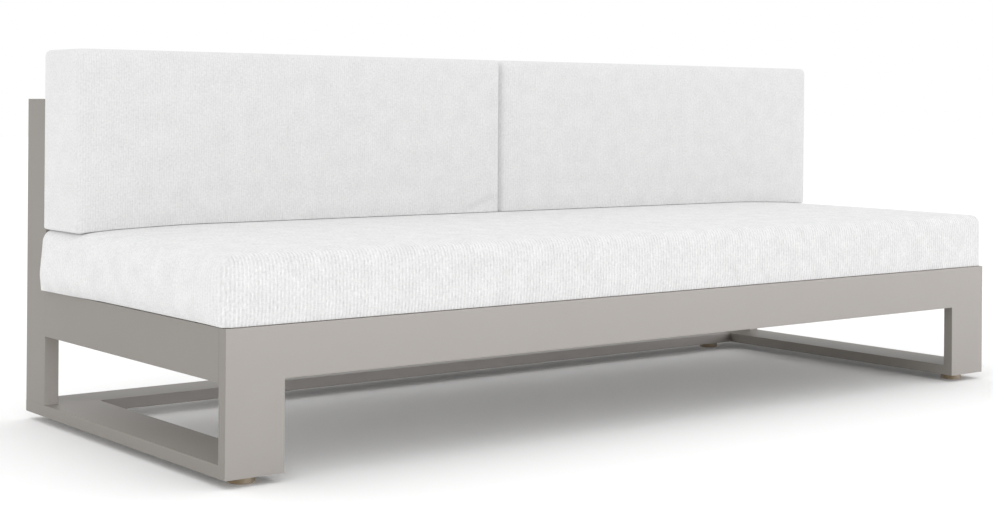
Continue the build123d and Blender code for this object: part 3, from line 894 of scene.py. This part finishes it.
def new_geometry_tree(name, inputs):
    """A geometry tree with its named inputs, its input node and the identifiers of its inputs."""
    tree = bpy.data.node_groups.new(name, "GeometryNodeTree")
    tree.interface.new_socket("Geometry", in_out="INPUT", socket_type="NodeSocketGeometry")
    keys = {title: group_input(tree, title, kind, value) for title, kind, value in inputs}
    tree.interface.new_socket("Geometry", in_out="OUTPUT", socket_type="NodeSocketGeometry")
    return tree, add(tree, "NodeGroupInput"), keys


def plain_mesh(name, tree, keys, values):
    """Run a geometry tree with the given values, and keep the result as a plain object."""
    seed_object = bpy.data.objects.new(name, bpy.data.meshes.new(name))
    scene.collection.objects.link(seed_object)
    modifier = seed_object.modifiers.new("rows", "NODES")
    modifier.node_group = tree
    for title, value in values.items():
        modifier[keys[title]] = value
    seed_object.update_tag()
    depsgraph = bpy.context.evaluated_depsgraph_get()
    mesh = bpy.data.meshes.new_from_object(seed_object.evaluated_get(depsgraph))
    bpy.data.objects.remove(seed_object)
    mesh.name = name
    obj = bpy.data.objects.new(name, mesh)
    scene.collection.objects.link(obj)
    return obj


def two_rows(tree, ins):
    """Points in two rows, from the inputs of a tree."""
    inputs = {"Count": "Count", "Start Location": "Start", "Offset": "Pitch"}
    line = add(tree, "GeometryNodeMeshLine", {key: ins.outputs[title] for key, title in inputs.items()})
    second = add(tree, "GeometryNodeTransform", {0: line.outputs[0], "Translation": ins.outputs["Apart"]})
    lines = add(tree, "GeometryNodeJoinGeometry")
    tree.links.new(line.outputs[0], lines.inputs[0])
    tree.links.new(second.outputs[0], lines.inputs[0])
    return lines.outputs[0]


def set_out(tree, ins, inputs):
    """Put an instance on every point, give it its finish and close the tree."""
    spread = add(tree, "GeometryNodeInstanceOnPoints", inputs)
    real = add(tree, "GeometryNodeRealizeInstances", {0: spread.outputs[0]})
    finish = {"Geometry": real.outputs[0], "Material": ins.outputs["Finish"]}
    done = add(tree, "GeometryNodeSetMaterial", finish)
    add(tree, "NodeGroupOutput", {0: done.outputs[0]})


rows, ins, row_keys = new_geometry_tree(
    "rows of beads",
    [
        ("Count", "NodeSocketInt", 10),
        ("Start", "NodeSocketVector", (0, 0, 0)),
        ("Pitch", "NodeSocketVector", (0.004, 0, 0)),
        ("Apart", "NodeSocketVector", (0, 0, 0.002)),
        ("Bead", "NodeSocketVector", (0.003, 0.001, 0.001)),
        ("Lean", "NodeSocketFloat", 0.1),
        ("Seed", "NodeSocketInt", 1),
        ("Finish", "NodeSocketMaterial", None),
    ],
)
ball_size = {"Segments": BEAD_SEGMENTS, "Rings": BEAD_RINGS, "Radius": 0.5}
ball = add(rows, "GeometryNodeMeshUVSphere", ball_size)
bead = add(rows, "GeometryNodeTransform", {0: ball.outputs[0], "Scale": ins.outputs["Bead"]})
less = add(rows, "ShaderNodeMath", {0: ins.outputs["Lean"], 1: -1.0}, operation="MULTIPLY")
lean = add(
    rows,
    "FunctionNodeRandomValue",
    {"Min": less.outputs[0], "Max": ins.outputs["Lean"], "Seed": ins.outputs["Seed"]},
)
turn = add(rows, "ShaderNodeCombineXYZ", {"Y": lean.outputs["Value"]})
set_out(
    rows,
    ins,
    {"Points": two_rows(rows, ins), "Instance": bead.outputs[0], "Rotation": turn.outputs[0]},
)
print("tree for rows of beads with inputs", list(row_keys))

# %% Zip teeth and stitches
TOOTH = (0.0012, 0.00026, 0.0030)
TOOTH_PITCH = 0.0024
TOOTH_ROWS = 0.0022
STITCH = (0.0032, 0.0004, 0.0008)
STITCH_PITCH = 0.0042
STITCH_FROM_MIDDLE = 0.0100
STITCH_LEAN = 0.12
STITCH_SEED = 7

for name, cushion in cushions.items():
    zip_low, zip_high = cushion["zip"]
    left_end = zip_low[0] + TAPE_END
    length = zip_high[0] - zip_low[0] - 2 * TAPE_END
    height = cushion["zip_height"]
    wall = cushion["high"][1]
    teeth = plain_mesh(
        name + "_zip_teeth",
        rows,
        row_keys,
        {
            "Count": int(length / TOOTH_PITCH) - 1,
            "Start": (left_end + TOOTH_PITCH, zip_high[1] + TOOTH[1] / 2, height - TOOTH_ROWS / 2),
            "Pitch": (TOOTH_PITCH, 0.0, 0.0),
            "Apart": (TOOTH_PITCH / 2, 0.0, TOOTH_ROWS),
            "Bead": TOOTH,
            "Lean": 0.0,
            "Finish": nylon,
        },
    )
    stitches = plain_mesh(
        name + "_zip_stitches",
        rows,
        row_keys,
        {
            "Count": int(length / STITCH_PITCH) - 1,
            "Start": (left_end + STITCH_PITCH, wall, height - STITCH_FROM_MIDDLE),
            "Pitch": (STITCH_PITCH, 0.0, 0.0),
            "Apart": (0.0, 0.0, 2 * STITCH_FROM_MIDDLE),
            "Bead": STITCH,
            "Lean": STITCH_LEAN,
            "Seed": STITCH_SEED,
            "Finish": thread,
        },
    )
    for piece in (teeth, stitches):
        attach(piece, name)
        print(piece.name, "faces", len(piece.data.polygons))

# %% [markdown]
# The deck slats are held from below by pan-head screws with a cross recess. One screw is built in a node
# tree from a cone, a cylinder and two crossed slots, and set out along both ledgers by pitch and count.

# %% Deck screws
HEAD_RADIUS = 0.0045
HEAD_FACE = 0.0032
HEAD_HEIGHT = 0.003
SHANK_RADIUS = 0.0024
HEAD_SIDES = 20
SHANK_SIDES = 12
RECESS = (0.0048, 0.0011, 0.0030)
SCREWS_IN_ROW = 10

screw_tree, ins, screw_keys = new_geometry_tree(
    "rows of pan-head screws",
    [
        ("Count", "NodeSocketInt", SCREWS_IN_ROW),
        ("Start", "NodeSocketVector", (0, 0, 0)),
        ("Pitch", "NodeSocketVector", (0.2, 0, 0)),
        ("Apart", "NodeSocketVector", (0, 0.7, 0)),
        ("Head Radius", "NodeSocketFloat", HEAD_RADIUS),
        ("Face Radius", "NodeSocketFloat", HEAD_FACE),
        ("Head Height", "NodeSocketFloat", HEAD_HEIGHT),
        ("Shank Radius", "NodeSocketFloat", SHANK_RADIUS),
        ("Length", "NodeSocketFloat", 0.014),
        ("Recess", "NodeSocketVector", RECESS),
        ("Finish", "NodeSocketMaterial", None),
    ],
)
head = add(
    screw_tree,
    "GeometryNodeMeshCone",
    {
        "Vertices": HEAD_SIDES,
        "Radius Top": ins.outputs["Head Radius"],
        "Radius Bottom": ins.outputs["Face Radius"],
        "Depth": ins.outputs["Head Height"],
    },
)
shank = add(
    screw_tree,
    "GeometryNodeMeshCylinder",
    {"Vertices": SHANK_SIDES, "Radius": ins.outputs["Shank Radius"], "Depth": ins.outputs["Length"]},
)
lift = add(screw_tree, "ShaderNodeMath", {0: ins.outputs["Length"], 1: 0.5}, operation="MULTIPLY")
raised = add(screw_tree, "ShaderNodeCombineXYZ", {"Z": lift.outputs[0]})
shank_up = add(screw_tree, "GeometryNodeTransform", {0: shank.outputs[0], "Translation": raised.outputs[0]})
slot_one = add(screw_tree, "GeometryNodeMeshCube", {"Size": ins.outputs["Recess"]})
quarter_turn = (0, 0, math.pi / 2)
slot_two = add(screw_tree, "GeometryNodeTransform", {0: slot_one.outputs[0], "Rotation": quarter_turn})
whole = add(screw_tree, "GeometryNodeMeshBoolean", operation="UNION")
screw_tree.links.new(head.outputs[0], whole.inputs["Mesh 2"])
screw_tree.links.new(shank_up.outputs[0], whole.inputs["Mesh 2"])
cut = add(screw_tree, "GeometryNodeMeshBoolean", {"Mesh 1": whole.outputs[0]}, operation="DIFFERENCE")
screw_tree.links.new(slot_one.outputs[0], cut.inputs["Mesh 2"])
screw_tree.links.new(slot_two.outputs[0], cut.inputs["Mesh 2"])
set_out(screw_tree, ins, {"Points": two_rows(screw_tree, ins), "Instance": cut.outputs[0]})

low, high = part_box("slat_screws")
screws = plain_mesh(
    "deck_screws",
    screw_tree,
    screw_keys,
    {
        "Start": (low[0] + HEAD_RADIUS, low[1] + HEAD_RADIUS, low[2]),
        "Pitch": ((high[0] - low[0] - 2 * HEAD_RADIUS) / (SCREWS_IN_ROW - 1), 0.0, 0.0),
        "Apart": (0.0, high[1] - low[1] - 2 * HEAD_RADIUS, 0.0),
        "Length": high[2] - low[2],
        "Finish": steel,
    },
)
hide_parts("slat_screws")
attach(screws, "frame")
print("deck screws", SCREWS_IN_ROW * 2, "faces", len(screws.data.polygons))
